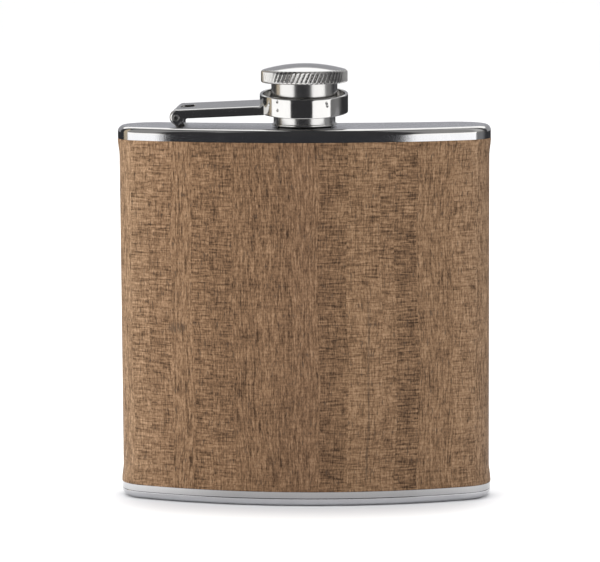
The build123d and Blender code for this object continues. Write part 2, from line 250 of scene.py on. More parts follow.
def kidney_arcs():
    """The section's arcs, anticlockwise seen from above, from the middle of the back.

    Each is (centre x, centre y, radius, sign of inset, start, sweep). The hollow rear's radius grows with
    the inset.
    """
    end_x = HALF_WIDTH - END_RADIUS
    front_y = MID_Y - THICKNESS / 2 + FRONT_RADIUS
    rear_y = MID_Y + THICKNESS / 2 + REAR_RADIUS
    front_end_y = front_y - sqrt((FRONT_RADIUS - END_RADIUS) ** 2 - end_x**2)
    rear_end_y = rear_y - sqrt((REAR_RADIUS + END_RADIUS) ** 2 - end_x**2)
    front = asin(end_x / (FRONT_RADIUS - END_RADIUS))
    rear = asin(end_x / (REAR_RADIUS + END_RADIUS))
    return [
        (0, rear_y, REAR_RADIUS, 1, -pi / 2, -rear),
        (-end_x, rear_end_y, END_RADIUS, -1, pi / 2 - rear, pi / 2 + rear),
        (-end_x, front_end_y, END_RADIUS, -1, pi, pi / 2 - front),
        (0, front_y, FRONT_RADIUS, -1, -pi / 2 - front, 2 * front),
        (end_x, front_end_y, END_RADIUS, -1, -pi / 2 + front, pi / 2 - front),
        (end_x, rear_end_y, END_RADIUS, -1, 0, pi / 2 + rear),
        (0, rear_y, REAR_RADIUS, 1, -pi / 2 + rear, -rear),
    ]


def kidney(inset, fineness=1.0):
    """Points (x, y, distance round) of the section moved in by inset, starting at the middle of the back.

    The distance is measured on the outermost section, so that it is the same at every inset.
    """
    points = []
    distance = 0.0
    for x, y, radius, sign, start, sweep in kidney_arcs():
        length = abs(sweep) * radius
        target = 1.1 if radius > 2 * END_RADIUS else 0.55
        steps = max(4, round(length / target * fineness))
        moved = radius + sign * inset
        for step in range(steps + 1):
            turn = start + sweep * step / steps
            points.append((x + moved * cos(turn), y + moved * sin(turn), distance + length * step / steps))
        distance += length
    return points


# ---- mesh building ----
def bridge(mesh, rings, around=True, along=False):
    """Joins rings of vertices with quads; around closes each, along joins the last to the first."""
    pairs = list(zip(rings, rings[1:]))
    if along:
        pairs.append((rings[-1], rings[0]))
    for low, high in pairs:
        count = len(low)
        for i in range(count if around else count - 1):
            j = (i + 1) % count
            corners = [low[i], low[j], high[j], high[i]]
            unique = list(dict.fromkeys(corners))
            if len(unique) > 2:
                mesh.faces.new(unique)


def add_ring(mesh, points):
    """New vertices at the points."""
    return [mesh.verts.new(point) for point in points]


def lathe(outline, segments=LATHE_ROUND):
    """Turns a closed outline of (radius, height) about the z axis."""
    mesh = bmesh.new()
    rings = []
    for radius, height in outline:
        rings.append(add_ring(mesh, [(x, y, height) for x, y in circle(radius, segments)]))
    bridge(mesh, rings, along=True)
    return mesh


def place(mesh, matrix):
    """Moves a mesh by a matrix in millimetres."""
    bmesh.ops.transform(mesh, matrix=matrix, verts=mesh.verts)
    return mesh


def on_cap_axis(mesh):
    """Moves a mesh turned about the z axis onto the cap's axis."""
    return place(mesh, Matrix.Translation((CAP_X, MID_Y, 0)))


def add_object(name, data):
    """A new object in the scene."""
    thing = bpy.data.objects.new(name, data)
    bpy.context.scene.collection.objects.link(thing)
    return thing


def mesh_object(name, mesh):
    """An object of the mesh, its faces turned outwards."""
    bmesh.ops.recalc_face_normals(mesh, faces=mesh.faces)
    data = bpy.data.meshes.new(name)
    mesh.to_mesh(data)
    mesh.free()
    return add_object(name, data)


def piece(name, mesh, material, body, node, sharp=35):
    """Turns a mesh in millimetres into an object that rides on a body and stands for a CAD node."""
    thing = mesh_object(name, mesh)
    data = thing.data
    data.transform(Matrix.Scale(MM, 4))
    data.shade_smooth()
    data.set_sharp_from_angle(angle=radians(sharp))
    data.materials.append(material)
    even = thing.modifiers.new("even_normals", "WEIGHTED_NORMAL")
    even.keep_sharp = True
    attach(thing, body)
    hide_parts(node)
    return thing


def combine(mesh, cuts):
    """The mesh less each of the cut meshes."""
    body = mesh_object("scratch", mesh)
    helpers = [mesh_object("scratch", cut) for cut in cuts]
    for helper in helpers:
        modifier = body.modifiers.new("cut", "BOOLEAN")
        modifier.operation = "DIFFERENCE"
        modifier.solver = "EXACT"
        modifier.object = helper
    bpy.context.view_layer.update()
    cut_body = body.evaluated_get(bpy.context.evaluated_depsgraph_get())
    result = bmesh.new()
    result.from_mesh(cut_body.to_mesh())
    for thing in [body, *helpers]:
        bpy.data.objects.remove(thing)
    bmesh.ops.remove_doubles(result, verts=result.verts, dist=1e-4)
    return result


def box_mesh(low, high):
    """A block between two corners, for a cut."""
    mesh = bmesh.new()
    ends_x, ends_y, ends_z = zip(low, high)
    corners = [(x, y, z) for x in ends_x for y in ends_y for z in ends_z]
    verts = add_ring(mesh, corners)
    for face in ((0, 1, 3, 2), (4, 6, 7, 5), (0, 4, 5, 1), (2, 3, 7, 6), (0, 2, 6, 4), (1, 5, 7, 3)):
        mesh.faces.new([verts[i] for i in face])
    return mesh


def prism(points, low, high):
    """A closed (x, z) outline drawn out along y."""
    mesh = bmesh.new()
    rings = [add_ring(mesh, [(x, y, z) for x, z in points]) for y in (low, high)]
    bridge(mesh, rings)
    mesh.faces.new(rings[0])
    mesh.faces.new(list(reversed(rings[1])))
    return mesh


def upright_prism(points, low, high):
    """A closed (x, y) outline drawn up along z."""
    mesh = bmesh.new()
    rings = [add_ring(mesh, [(x, y, z) for x, y in points]) for z in (low, high)]
    bridge(mesh, rings)
    mesh.faces.new(list(reversed(rings[0])))
    mesh.faces.new(rings[1])
    return mesh


def inward_normals(points):
    """Inward normals of a closed anticlockwise outline, drawn out at corners to keep an offset even."""
    normals = []
    for index, (x, z) in enumerate(points):
        before = Vector(points[index - 1])
        after = Vector(points[(index + 1) % len(points)])
        first = (Vector((x, z)) - before).normalized()
        second = (after - Vector((x, z))).normalized()
        normal = Vector((-first.y - second.y, first.x + second.x)).normalized()
        stretch = max(0.5, normal.dot(Vector((-first.y, first.x))))
        normals.append(normal / stretch)
    return normals


def rounded_prism(points, radii, half, steps=6):
    """An (x, z) outline drawn out to half either way along y, its edges rounded by each point's radius."""
    mesh = bmesh.new()
    normals = inward_normals(points)
    rings = []
    for side in (-1, 1):
        turns = even_steps(0, pi / 2, steps)
        for turn in (turns if side < 0 else reversed(turns)):
            ring = []
            for (x, z), radius, normal in zip(points, radii, normals):
                inset = radius * (1 - sin(turn))
                y = side * (half - radius * (1 - cos(turn)))
                ring.append((x + normal.x * inset, y, z + normal.y * inset))
            rings.append(add_ring(mesh, ring))
    bridge(mesh, rings)
    mesh.faces.new(list(reversed(rings[0])))
    mesh.faces.new(rings[-1])
    return mesh


# ---- vessel ----
def kidney_rings(mesh, levels, fineness=1.0):
    """One closed ring of the section for each (height, inset)."""
    rings = []
    for height, inset in levels:
        points = [(x, y, height) for x, y, _ in kidney(inset, fineness)]
        rings.append(add_ring(mesh, points))
    return rings


def quarter(radius, steps=10):
    """(drop, inset) down a rounded edge from the flat face to the wall."""
    turns = even_steps(0, pi / 2, steps)
    return [(radius * (1 - cos(t)), radius * (1 - sin(t))) for t in turns]


def make_top_cover(material):
    """Pressed end: rounded edge, flat top, the neck's hole."""
    edge = list(reversed(quarter(TOP_EDGE_RADIUS)))[1:]
    outside = [(TOP_LOW.z - SEAM_LAP, -SEAM_PROUD), (TOP_LOW.z, -SEAM_PROUD)]
    outside += [(PLATE_Z - drop, inset) for drop, inset in edge]
    outside += [(PLATE_Z, TOP_EDGE_RADIUS + 0.2)]
    inner = quarter(TOP_EDGE_RADIUS - STEEL)
    inside = [(PLATE_Z - STEEL - drop, STEEL + inset) for drop, inset in inner]
    inside[-1] = (TOP_LOW.z, STEEL + SEAM_DEPTH)
    mesh = bmesh.new()
    outer_rings = kidney_rings(mesh, outside)
    inner_rings = kidney_rings(mesh, inside)
    hole = [hole_ring(mesh, height) for height in (PLATE_Z, PLATE_Z - STEEL)]
    bridge(mesh, [*outer_rings, *hole, *inner_rings], along=True)
    bmesh.ops.remove_doubles(mesh, verts=mesh.verts, dist=1e-4)
    return piece("top_cover", mesh, material, "flask", "top_plate", sharp=50)


def hole_ring(mesh, height):
    """The neck's hole, with a point in the direction of each point of the section."""
    ring = []
    for x, y, _ in kidney(0):
        turn = atan2(y - MID_Y, x - CAP_X)
        ring.append((CAP_X + NECK_ROOT * cos(turn), MID_Y + NECK_ROOT * sin(turn), height))
    return add_ring(mesh, ring)


def make_base_cover(material):
    """Pressed base: rounded edge, standing ring, its middle pressed up clear of the table."""
    edge = quarter(BASE_EDGE_RADIUS)
    outside = [(BASE_EDGE_RADIUS, SEAM_DEPTH), (BASE_EDGE_RADIUS - SEAM, 0)]
    outside += [(rise, inset) for rise, inset in reversed(edge) if rise < BASE_EDGE_RADIUS - SEAM]
    outside += [
        (0, BASE_RIM - 0.2),
        (0.06, BASE_RIM),
        (BASE_RECESS - 0.06, BASE_RIM + BASE_RECESS - 0.06),
        (BASE_RECESS, BASE_RIM + BASE_RECESS + 0.2),
    ]
    inner = quarter(BASE_EDGE_RADIUS - STEEL)
    inside = [(STEEL + BASE_RECESS, BASE_RIM + BASE_RECESS), (STEEL, BASE_RIM)]
    inside += [(STEEL + rise, STEEL + inset) for rise, inset in inner]
    inside[-1] = (BASE_EDGE_RADIUS, STEEL + SEAM_DEPTH)
    mesh = bmesh.new()
    outer_rings = kidney_rings(mesh, outside)
    inner_rings = kidney_rings(mesh, inside)
    bridge(mesh, outer_rings)
    bridge(mesh, [*inner_rings, outer_rings[0]])
    mesh.faces.new(outer_rings[-1])
    mesh.faces.new(inner_rings[0])
    bmesh.ops.remove_doubles(mesh, verts=mesh.verts, dist=1e-4)
    return piece("base_cover", mesh, material, "flask", "bottom_plate", sharp=50)


# ---- wood wrap ----
def wrap_inset(height):
    """How far the wrap's surface lies inside the bands' at a height: it swells out to both of them."""
    edge = min(height - WOOD_LOW.z, WOOD_HIGH.z - height)
    return -WOOD_PROUD + (WOOD_PROUD + WOOD_SUNK) * blend_step(edge / WOOD_FLARE)


def wrap_section():
    """(height, depth below the surface) once round the veneer's own thickness."""
    low, high = WOOD_LOW.z, WOOD_HIGH.z
    flare = even_steps(0, WOOD_FLARE, 9)[1:]
    heights = [low + WOOD_EDGE] + [low + f for f in flare if f > WOOD_EDGE]
    heights += even_steps(low, high, 12)[1:-1]
    heights += [high - f for f in reversed(flare) if f > WOOD_EDGE] + [high - WOOD_EDGE]
    outer = [(low, WOOD_EDGE), (low + WOOD_EDGE * 0.3, WOOD_EDGE * 0.3)]
    outer += [(h, 0) for h in heights]
    outer += [(high - WOOD_EDGE * 0.3, WOOD_EDGE * 0.3), (high, WOOD_EDGE)]
    inner = [(h, VENEER) for h in reversed([low, *heights, high])]
    return outer + inner


def ragged(distance, height):
    """Small unevenness of the cut edges, in millimetres of height."""
    near_low = max(0.0, 1 - (height - WOOD_LOW.z) / 0.6)
    near_high = max(0.0, 1 - (WOOD_HIGH.z - height) / 0.6)
    wave = noise.noise(Vector((distance * 0.9, near_low, 3.1))) * 0.09
    wave += noise.noise(Vector((distance * 3.7, near_high, 8.4))) * 0.04
    return near_low * abs(wave) - near_high * abs(wave) * 0.6


def make_wood_wrap(material):
    """The veneer, bent once round the vessel, its two ends meeting at the middle of the back."""
    mesh = bmesh.new()
    section = wrap_section()
    sections = [kidney(wrap_inset(height) + depth, 1.4) for height, depth in section]
    total = sections[0][-1][2]
    last = len(sections[0]) - 1
    last_distance = -1.0
    columns = []
    spots = {}
    for index, (_, _, distance) in enumerate(sections[0]):
        if abs(distance - last_distance) < 1e-6:
            continue
        last_distance = distance
        gap = {0: -WRAP_GAP / 2, last: WRAP_GAP / 2}.get(index, 0.0)
        column = []
        for (height, _), points in zip(section, sections):
            x, y, _ = points[index]
            vert = mesh.verts.new((x + gap, y, height + ragged(distance, height)))
            spots[vert] = ((distance - total / 2) / GRAIN_UNIT, height / GRAIN_UNIT)
            column.append(vert)
        columns.append(column)
    bridge(mesh, columns)
    mesh.faces.new(columns[0])
    mesh.faces.new(columns[-1])
    grain = mesh.loops.layers.uv.new("grain")
    for face in mesh.faces:
        for loop in face.loops:
            loop[grain].uv = spots[loop.vert]
    return piece("wood_wrap", mesh, material, "flask", "wood_veneer", sharp=60)


# ---- cap ----
def head_outline():
    """(radius, height, knurl share) from the plug's foot to the top of the dome."""
    rise = HEAD_HIGH.z - DOME_BOTTOM
    sphere = (DOME_RADIUS**2 + rise**2) / (2 * rise)
    spread = asin(DOME_RADIUS / sphere)
    full = HEAD_RADIUS
    outline = [
        (0, HEAD_LOW.z, 0),
        (SLEEVE_BORE - 0.2, HEAD_LOW.z, 0),
        (SLEEVE_BORE, HEAD_LOW.z + 0.2, 0),
        (SLEEVE_BORE, HEAD_BOTTOM, 0),
        (full - 1.3, HEAD_BOTTOM, 0),
        (full - 0.55, HEAD_BOTTOM, 0.1),
        (full - 0.22, HEAD_BOTTOM + 0.1, 0.5),
        (full - 0.06, HEAD_BOTTOM + 0.25, 0.85),
    ]
    outline += [(full, height, 1) for height in even_steps(HEAD_BOTTOM + 0.4, KNURL_TOP - 0.35, 12)]
    outline += [
        (full - 0.05, KNURL_TOP - 0.18, 1),
        (full - 0.16, KNURL_TOP - 0.02, 0.8),
        (full - 0.32, KNURL_TOP + 0.12, 0.45),
        (DOME_RADIUS + 0.03, DOME_BOTTOM - 0.04, 0.1),
    ]
    for step in range(25):
        turn = spread * (1 - step / 24)
        height = HEAD_HIGH.z - sphere * (1 - cos(turn))
        outline.append((sphere * sin(turn), height, 0))
    return outline


def knurl_valley(turn, height):
    """0 on a tooth's crest and 1 in the valley between two; a tooth rises steeply and falls gently."""
    lean = (height - HEAD_BOTTOM) * tan(radians(KNURL_LEAN)) / HEAD_RADIUS
    phase = ((turn - lean) * KNURL_TEETH / (2 * pi)) % 1.0
    if phase < KNURL_RISE:
        depth = 1 - phase / KNURL_RISE
    else:
        depth = (phase - KNURL_RISE) / (1 - KNURL_RISE)
    return max(0.0, (depth - KNURL_LAND) / (1 - KNURL_LAND))


def make_head(material):
    """Screw cap's head: slanted knurl round its edge, polished shallow dome, plug below."""
    mesh = bmesh.new()
    segments = KNURL_TEETH * STEPS_PER_TOOTH
    rings = []
    for radius, height, share in head_outline():
        if radius < 1e-6:
            rings.append([mesh.verts.new((0, 0, height))] * segments)
            continue
        ring = []
        for turn in full_circle(segments):
            reach = radius - share * KNURL_DEPTH * knurl_valley(turn, height)
            ring.append((reach * cos(turn), reach * sin(turn), height))
        rings.append(add_ring(mesh, ring))
    bridge(mesh, rings)
    return piece("knurled_head", on_cap_axis(mesh), material, "cap", "cap_head", sharp=40)


def thread_ridge(mesh, root, crest, bottom, turns, segments=48):
    """Adds a helical ridge on a wall at radius root that rises to radius crest, its ends run out."""
    sink = 0.1 if crest > root else -0.1
    shape = [(-sink, -0.5), (crest - root, -0.14), (crest - root, 0.14), (-sink, 0.5)]
    rings = []
    count = round(turns * segments)
    for i in range(count + 1):
        turn = 2 * pi * i / segments
        height = bottom + THREAD_PITCH * i / segments
        fade = blend_step(min(i, count - i) / 8)
        ring = [(root + dx * fade - sink * (1 - fade), height + dz * max(fade, 0.3)) for dx, dz in shape]
        rings.append(add_ring(mesh, [(r * cos(turn), r * sin(turn), z) for r, z in ring]))
    bridge(mesh, rings)
    mesh.faces.new(rings[0])
    mesh.faces.new(list(reversed(rings[-1])))
    return mesh


def make_sleeve(material):
    """Turned sleeve: barrel above, plain skirt below, retaining lip at its foot, thread inside."""
    barrel = BARREL_RADIUS
    foot = SLEEVE_LOW.z
    lip = SKIRT_RADIUS + 0.425
    flare = barrel - SKIRT_RADIUS
    shoulder = [
        (SKIRT_RADIUS + flare * sin(turn), BARREL_BOTTOM + BARREL_ROUND * (1 - cos(turn)))
        for turn in even_steps(0, pi / 2, 8)
    ]
    lip_outline = round_corners([
        (SLEEVE_BORE, foot, 0.15),
        (lip, foot, 0.1),
        (lip, foot + LIP_HEIGHT, 0.16),
        (SKIRT_RADIUS, foot + LIP_HEIGHT, 0),
    ])
    outline = [
        *lip_outline,
        (SKIRT_RADIUS, foot + LIP_HEIGHT + 0.2),
        (SKIRT_RADIUS, BARREL_BOTTOM - 0.2),
        *shoulder,
        (barrel, BARREL_BOTTOM + BARREL_ROUND + 0.2),
        (barrel, HEAD_BOTTOM - 0.2),
        (barrel, HEAD_BOTTOM),
        (SLEEVE_BORE, HEAD_BOTTOM),
    ]
    mesh = lathe(outline)
    thread_ridge(mesh, SLEEVE_BORE, SLEEVE_BORE - THREAD_DEPTH, THREAD_BOTTOM, THREAD_TURNS)
    return piece("threaded_sleeve", on_cap_axis(mesh), material, "cap", "cap_sleeve")


# ---- arm and collar ----
def make_collar(material):
    """Ring round the cap, its edges rounded, dented where it is staked to the washer."""
    inner = COLLAR_RADIUS - COLLAR_WALL
    corners = [
        (inner, COLLAR_BOTTOM, 0.12),
        (COLLAR_RADIUS, COLLAR_BOTTOM, 0.22),
        (COLLAR_RADIUS, COLLAR_TOP, 0.34),
        (inner, COLLAR_TOP, 0.3),
    ]
    outline = subdivided(round_corners(corners, 8), 0.16)
    mesh = bmesh.new()
    rings = []
    for radius, height in outline:
        ring = []
        for turn in full_circle(COLLAR_ROUND):
            reach = radius
            if radius > COLLAR_RADIUS - 0.02:
                reach -= stake_dent(turn, height)
            ring.append((reach * cos(turn), reach * sin(turn), height))
        rings.append(add_ring(mesh, ring))
    bridge(mesh, rings, along=True)
    return piece("collar_ring", place(mesh, COLLAR), material, "arm", "cap_collar")


def stake_dent(turn, height):
    """Depth of the punch marks at an angle and height on the collar."""
    depth = 0.0
    for place_deg, place_height, strength in STAKES:
        across = (turn - radians(place_deg) + pi) % (2 * pi) - pi
        away = hypot(across * COLLAR_RADIUS, height - place_height) / STAKE_RADIUS
        depth += strength * STAKE_DEPTH * max(0.0, 1 - away**2) ** 1.5
    return depth


def arm_outline(inset=0.0):
    """The arm's side view, anticlockwise, and which of its points carry the pressed bend."""
    top = ARM_TOP - inset
    wide, tall = NOSE_HALF_LENGTH - inset, NOSE_HALF_HEIGHT - inset
    start = asin(min(1.0, top / tall))
    stop = 2 * pi + asin(max(-1.0, ARM_BOTTOM / tall))
    points = [(ARM_REACH, top + KICK_RISE), (KICK_START + KICK_RISE, top + KICK_RISE), (KICK_START, top)]
    bent = [True] * len(points)
    web = even_steps(KICK_START, wide * cos(start) + 0.4, 12)[1:]
    nose = even_steps(start, stop, 56)
    foot = even_steps(wide + 0.5, ARM_REACH, 12)
    points += [(x, top) for x in web]
    points += [(wide * cos(turn), tall * sin(turn)) for turn in nose]
    points += [(x, ARM_BOTTOM) for x in foot]
    bent += [True] * len(web)
    bent += [i < 0.9 * (len(nose) - 1) for i in range(len(nose))]
    bent += [False] * len(foot)
    return points, bent


def nose_sector():
    """The part of the nose that is open between the flanges, for the bracket."""
    reach = 4.0
    turn = radians(NOSE_BRIDGE_ANGLE)
    bridge_end = (reach * cos(turn), reach * sin(turn))
    return [(0, 0), bridge_end, (-reach, 0), (-reach, -reach), (reach, -reach), (reach, 0)]


def slot_cutter():
    """The round-ended slot in the web."""
    half = SLOT_WIDTH / 2
    corners = [(SLOT_START, -half), (SLOT_END, -half), (SLOT_END, half), (SLOT_START, half)]
    points = round_corners([(x, y, SLOT_CORNER) for x, y in corners], 8)
    return upright_prism(points, ARM_TOP - 1.5, ARM_TOP + 1.5)


def make_arm(material):
    """Pressed channel: web above, a flange down each side, its nose wrapped round the pin."""
    half = ARM_WIDTH / 2
    inside = half - ARM_SHEET
    points, bent = arm_outline()
    radii = [ARM_BEND if b else 0.07 for b in bent]
    inner_points, _ = arm_outline(ARM_SHEET)
    collar_room = upright_prism(circle(COLLAR_RADIUS - 0.01, CUTTER_ROUND), -9, 9)
    cuts = [
        prism(inner_points, -inside, inside),
        box_mesh((1.0, -inside, ARM_BOTTOM - 3), (ARM_REACH + 1, inside, ARM_BOTTOM + 1)),
        slot_cutter(),
        prism(nose_sector(), -SLOT_WIDTH / 2, SLOT_WIDTH / 2),
        prism(circle(PIN_RADIUS, SMALL_ROUND), -half - 1, half + 1),
        place(collar_room, ARM.inverted() @ COLLAR),
    ]
    mesh = place(combine(rounded_prism(points, radii, half), cuts), ARM)
    return piece("hinge_arm_pressed", mesh, material, "arm", "hinge_arm", sharp=32)


def make_pin(material):
    """Tubular rivet, its two ends rolled over."""
    reach = ARM_WIDTH / 2 + PIN_PROUD
    outline = round_corners([
        (PIN_BORE, -reach, 0.16),
        (PIN_RADIUS + 0.02, -reach, 0.1),
        (PIN_RADIUS, -reach + 0.3, 0),
        (PIN_RADIUS, reach - 0.3, 0),
        (PIN_RADIUS + 0.02, reach, 0.1),
        (PIN_BORE, reach, 0.16),
    ])
    mesh = lathe(outline, PIN_ROUND)
    turned = ARM @ Matrix.Rotation(radians(-90), 4, "X")
    return piece("tubular_pin", place(mesh, turned), material, "arm", "hinge_pin")


def make_bracket(material):
    """Eye on a short post, welded to the plate, its edges eased."""
    foot = BRACKET_FOOT - PIVOT.z
    eye = [*even_steps(asin(0.45), pi + 0.15, 32), pi + 0.9]
    points = [(BRACKET_LEFT, foot), (BRACKET_RIGHT, foot), (BRACKET_RIGHT, BRACKET_SHOULDER)]
    points += [(BRACKET_EYE * cos(turn), BRACKET_EYE * sin(turn)) for turn in eye]
    points.append((BRACKET_LEFT, foot + 1.0))
    body = rounded_prism(points, [0.12] * len(points), BRACKET_WIDTH / 2, 3)
    hole = prism(circle(BRACKET_HOLE, SMALL_ROUND), -BRACKET_WIDTH, BRACKET_WIDTH)
    mesh = place(combine(body, [hole]), BRACKET)
    return piece("bracket_eye", mesh, material, "flask", "hinge_bracket")


# ---- material graphs ----
STEEL_COLOUR = (0.625, 0.615, 0.60)
WELD_COLOUR = (0.45, 0.44, 0.42)
POLISH = 0.09               # roughness of the cap's polished dome
EDGE_ROUGHNESS = 0.055
BAND_COLOUR = (0.60, 0.60, 0.61)
# darker than the other steel: painted shade, for the shaded floor that the base mirrors
BASE_PAINTED_SHADE_COLOUR = (0.56, 0.56, 0.575)
BRUSHED_COLOUR = (0.62, 0.62, 0.65)
BRUSHED_ROUGHNESS = 0.21
BRUSHED_SPREAD = 0.08
SCRATCH_HEIGHT = 0.00002    # metres
FLAT_LEFT = -46.0           # the upper band's slight flat, in x, and how deep it is
FLAT_RIGHT = -20.0
FLAT_DEPTH = 2.0
END_FALL_FROM = 41.0        # the band's ends, in x either way, and how much they fall away
END_FALL_TO = 48.0
END_FALL = 0.35
LOWER_PAINTED_SHADE = 0.42           # painted shade: how much darker the lower band is at its middle than the upper one, for the shaded floor it mirrors
LOWER_PAINTED_SHADE_LEFT = -0.29     # and how much that changes towards its ends
LOWER_PAINTED_SHADE_RIGHT = -0.10
RIBBON = 6.5                # usual width of the wood's ribbons
SWAY = 3.0                  # how far the grain wanders sideways
GRAIN_HEIGHT = 0.00006      # metres
WOOD_TONE = 0.575           # its middle, from 0 dark to 1 light
RIBBON_CONTRAST = 0.17
RIPPLE_DARK = -0.24
FLECK_CONTRAST = 0.78
FIBRE_DARK = -0.26
FIBRE_CONTRAST = 0.95
CLOUD_CONTRAST = 0.25
BAND_CONTRAST = 0.35
SPECKLE_CONTRAST = 0.88
# Colour of the veneer from its darkest tone to its lightest.
WOOD_COLOURS = [
    (0.00, (0.038, 0.020, 0.0095)),
    (0.25, (0.088, 0.048, 0.024)),
    (0.50, (0.141, 0.080, 0.042)),
    (0.75, (0.204, 0.122, 0.067)),
    (1.00, (0.276, 0.172, 0.100)),
]
PORE_COLOUR = (0.050, 0.032, 0.021)
# Long dark lines in the grain: (distance from the middle of the front, from height, to height, half width).
STREAKS = [
    (-5.2, 81.0, 90.0, 0.5),
    (16.8, 7.0, 52.0, 0.45),
]
KNOT_PLACE = (-32.5, 45.0)
KNOT_SIZE = (3.2, 1.8)
# Painted light and sheen on the veneer from one end of the front to the other: lighter and paler towards
# the ends, most at the left.
WOOD_PAINTED_LIGHT = [
    (0.10, (1.58, 1.68, 1.78)),
    (0.19, (1.33, 1.35, 1.38)),
    (0.27, (1.22, 1.22, 1.22)),
    (0.42, (1.12, 1.11, 1.11)),
    (0.51, (0.92, 0.89, 0.89)),
    (0.60, (1.05, 1.05, 1.04)),
    (0.68, (1.04, 1.04, 1.04)),
    (0.82, (1.10, 1.11, 1.12)),
    (0.90, (1.16, 1.21, 1.28)),
]


class Graph:
    """A small helper over one material's nodes."""

    def __init__(self, name):
        self.material = bpy.data.materials.new(name)
        self.material.use_nodes = True
        self.tree = self.material.node_tree
        self.shader = self.tree.nodes["Principled BSDF"]

    def node(self, kind, **settings):
        made = self.tree.nodes.new(kind)
        for key, value in settings.items():
            setattr(made, key, value)
        return made

    def set(self, socket, value):
        """Links an output to an input, or sets a plain value on it."""
        if isinstance(value, bpy.types.NodeSocket):
            self.tree.links.new(value, socket)
        else:
            socket.default_value = value

    def surface(self, **inputs):
        """Links or sets the shader's inputs, named with underscores for spaces."""
        for name, value in inputs.items():
            self.set(self.shader.inputs[name.replace("_", " ")], value)

    def math(self, operation, first, second=0.0, third=0.0):
        """One sum on sockets or plain numbers."""
        made = self.node("ShaderNodeMath", operation=operation)
        for socket, value in zip(made.inputs, (first, second, third)):
            self.set(socket, value)
        return made.outputs[0]

    def vector(self, x, y, z=0.0):
        made = self.node("ShaderNodeCombineXYZ")
        for socket, value in zip(made.inputs, (x, y, z)):
            self.set(socket, value)
        return made.outputs[0]

    def noise(self, vector, detail=2.0, roughness=0.5, scale=1.0):
        made = self.node("ShaderNodeTexNoise")
        self.set(made.inputs["Vector"], vector)
        made.inputs["Scale"].default_value = scale
        made.inputs["Detail"].default_value = detail
        made.inputs["Roughness"].default_value = roughness
        return made.outputs["Fac"]

    def steps(self, value, low, high, start=0.0, end=1.0):
        """Smoothly from start to end as value goes from low to high."""
        made = self.node("ShaderNodeMapRange", interpolation_type="SMOOTHSTEP")
        for socket, setting in zip(made.inputs, (value, low, high, start, end)):
            self.set(socket, setting)
        return made.outputs[0]

    def product(self, first, *others):
        """All the factors multiplied, in turn."""
        for factor in others:
            first = self.math("MULTIPLY", first, factor)
        return first

    def total(self, first, *others):
        """All the terms added, in turn."""
        for term in others:
            first = self.math("ADD", first, term)
        return first

    def centred(self, value, contrast):
        """A value of 0 to 1 turned to one about 0."""
        return self.product(self.math("SUBTRACT", value, 0.5), contrast)

    def ramp(self, value, stops):
        made = self.node("ShaderNodeValToRGB")
        elements = made.color_ramp.elements
        while len(elements) < len(stops):
            elements.new(0.5)
        for element, (position, colour) in zip(elements, stops):
            element.position = position
            element.color = (*colour, 1)
        self.set(made.inputs[0], value)
        return made.outputs[0]

    def mix(self, share, first, second):
        made = self.node("ShaderNodeMix", data_type="RGBA")
        self.set(made.inputs["Factor"], share)
        self.set(made.inputs["A"], first if isinstance(first, bpy.types.NodeSocket) else (*first, 1))
        self.set(made.inputs["B"], second if isinstance(second, bpy.types.NodeSocket) else (*second, 1))
        return made.outputs["Result"]

    def bump(self, height, strength, distance, over=None):
        made = self.node("ShaderNodeBump")
        made.inputs["Strength"].default_value = strength
        made.inputs["Distance"].default_value = distance
        self.set(made.inputs["Height"], height)
        if over:
            self.set(made.inputs["Normal"], over)
        return made.outputs[0]

    def position(self):
        """Object position in millimetres as x, y and z sockets and as a vector."""
        coordinates = self.node("ShaderNodeTexCoord").outputs["Object"]
        scaled = self.node("ShaderNodeVectorMath", operation="SCALE")
        self.set(scaled.inputs[0], coordinates)
        scaled.inputs["Scale"].default_value = 1 / MM
        split = self.node("ShaderNodeSeparateXYZ")
        self.set(split.inputs[0], scaled.outputs[0])
        return (*split.outputs, scaled.outputs[0])


def steel_lines(graph, axes, stretch):
    """Fine parallel lines: noise drawn out along one axis."""
    scaled = [graph.math("MULTIPLY", axis, scale) for axis, scale in zip(axes, stretch)]
    return graph.noise(graph.vector(*scaled), 2, 0.6)


def steel_tint(graph, smears, lines, colour, darkest):
    """The steel's colour, a little darker in its smears and lines."""
    share = graph.math("MULTIPLY_ADD", smears, 0.7, graph.math("MULTIPLY", lines, 0.3))
    return graph.mix(graph.steps(share, 0.3, 0.7), [c * darkest for c in colour], colour)


def steel_material(name, colour, roughness, scratches=0.0, pressed=False, polished_from=None):
    """Polished stainless steel: uneven polish, faint smears and wiping marks.

    Pressed adds the bands' slight wave and a painted shade on the lower one. From the height polished_from
    up, the surface is as smooth as the cap's dome.
    """
    graph = Graph(name)
    x, y, z, place_mm = graph.position()
    smears = graph.noise(place_mm, 3, 0.6, 0.16)
    fine = graph.noise(place_mm, 2, 0.5, 2.2)
    lines = steel_lines(graph, (x, y, z), (7.0, 7.0, 0.12))
    uneven = graph.math("MULTIPLY_ADD", smears, 0.08, graph.math("MULTIPLY", fine, 0.02))
    rough = graph.math("MULTIPLY_ADD", lines, 0.03, graph.math("ADD", uneven, roughness - 0.065))
    if polished_from is not None:
        polished = graph.steps(z, polished_from - 0.1, polished_from + 0.1, 0.0, roughness - POLISH)
        rough = graph.math("SUBTRACT", rough, polished)
    shade = steel_tint(graph, smears, lines, colour, 0.93)
    if pressed:
        # painted shade: the lower band darkened where it mirrors the shaded floor
        shade = graph.mix(lower_band_painted_shade(graph, x, z), shade, (0.0, 0.0, 0.0))
    wave = graph.bump(pressed_wave(graph, x, z), 1.0, MM) if pressed else None
    relief = graph.bump(lines, scratches, SCRATCH_HEIGHT, wave)
    graph.surface(Base_Color=shade, Roughness=rough, Metallic=1.0, Normal=relief)
    return graph.material


